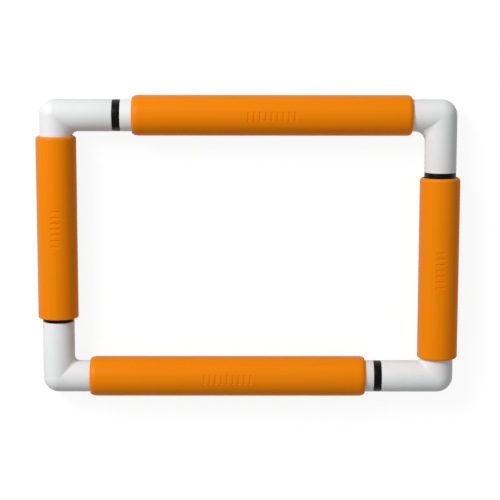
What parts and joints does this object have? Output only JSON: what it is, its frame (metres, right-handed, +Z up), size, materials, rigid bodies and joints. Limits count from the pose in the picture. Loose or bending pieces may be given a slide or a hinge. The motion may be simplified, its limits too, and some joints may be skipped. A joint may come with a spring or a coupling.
{
  "type": "rectangular embroidery hoop",
  "caption": "Rectangular clip frame for embroidery: round white tubes and elbows plugged together through black rubber rings, with C-shaped orange clips that hold the cloth on each side.",
  "frame": {"origin": "centre of the frame in plan, on the surface that the tubes lie on", "axes": "+X along the long sides to the right, +Y along the short sides to the top, +Z up out of the working side"},
  "size_m": [0.2856, 0.2056, 0.0243],
  "materials": {
    "white_elbow": "satin, moulded",
    "white_tube": "satin, extruded",
    "black_rubber": "moulded, slightly shiny",
    "orange_clip": "satin, moulded"
  },
  "bodies": {
    "top_left_corner": {"top_left_elbow": "white_elbow", "top_left_ring": "black_rubber", "left_tube": "white_tube"},
    "top_right_corner": {"top_right_elbow": "white_elbow", "top_right_ring": "black_rubber", "top_tube": "white_tube"},
    "bottom_right_corner": {"bottom_right_elbow": "white_elbow", "bottom_right_ring": "black_rubber", "right_tube": "white_tube"},
    "bottom_left_corner": {"bottom_left_elbow": "white_elbow", "bottom_left_ring": "black_rubber", "bottom_tube": "white_tube"},
    "left_clamp": {"left_clip": "orange_clip"},
    "top_clamp": {"top_clip": "orange_clip"},
    "right_clamp": {"right_clip": "orange_clip"},
    "bottom_clamp": {"bottom_clip": "orange_clip"}
  },
  "joints": [
    {"name": "pull_width", "type": "slide", "parent": "top_left_corner", "child": "top_right_corner", "axis": [1, 0, 0], "range_m": [0, 0.02]},
    {"name": "pull_height", "type": "slide", "parent": "top_left_corner", "child": "bottom_left_corner", "axis": [0, -1, 0], "range_m": [0, 0.02]},
    {"name": "pull_height_right", "type": "slide", "parent": "top_right_corner", "child": "bottom_right_corner", "axis": [0, -1, 0], "range_m": [0, 0.02]},
    {"name": "left_clip_turn", "type": "hinge", "parent": "top_left_corner", "child": "left_clamp", "pos_m": [-0.12925, 0, 0.01075], "axis": [0, 1, 0], "range_deg": [-90, 90]},
    {"name": "top_clip_turn", "type": "hinge", "parent": "top_right_corner", "child": "top_clamp", "pos_m": [0, 0.08925, 0.01075], "axis": [1, 0, 0], "range_deg": [-90, 90]},
    {"name": "right_clip_turn", "type": "hinge", "parent": "bottom_right_corner", "child": "right_clamp", "pos_m": [0.12925, 0, 0.01075], "axis": [0, 1, 0], "range_deg": [-90, 90]},
    {"name": "bottom_clip_turn", "type": "hinge", "parent": "bottom_left_corner", "child": "bottom_clamp", "pos_m": [0, -0.08925, 0.01075], "axis": [1, 0, 0], "range_deg": [-90, 90]}
  ],
  "couplings": [
    {"joint": "pull_height_right", "follows": "pull_height", "ratio": 1}
  ]
}
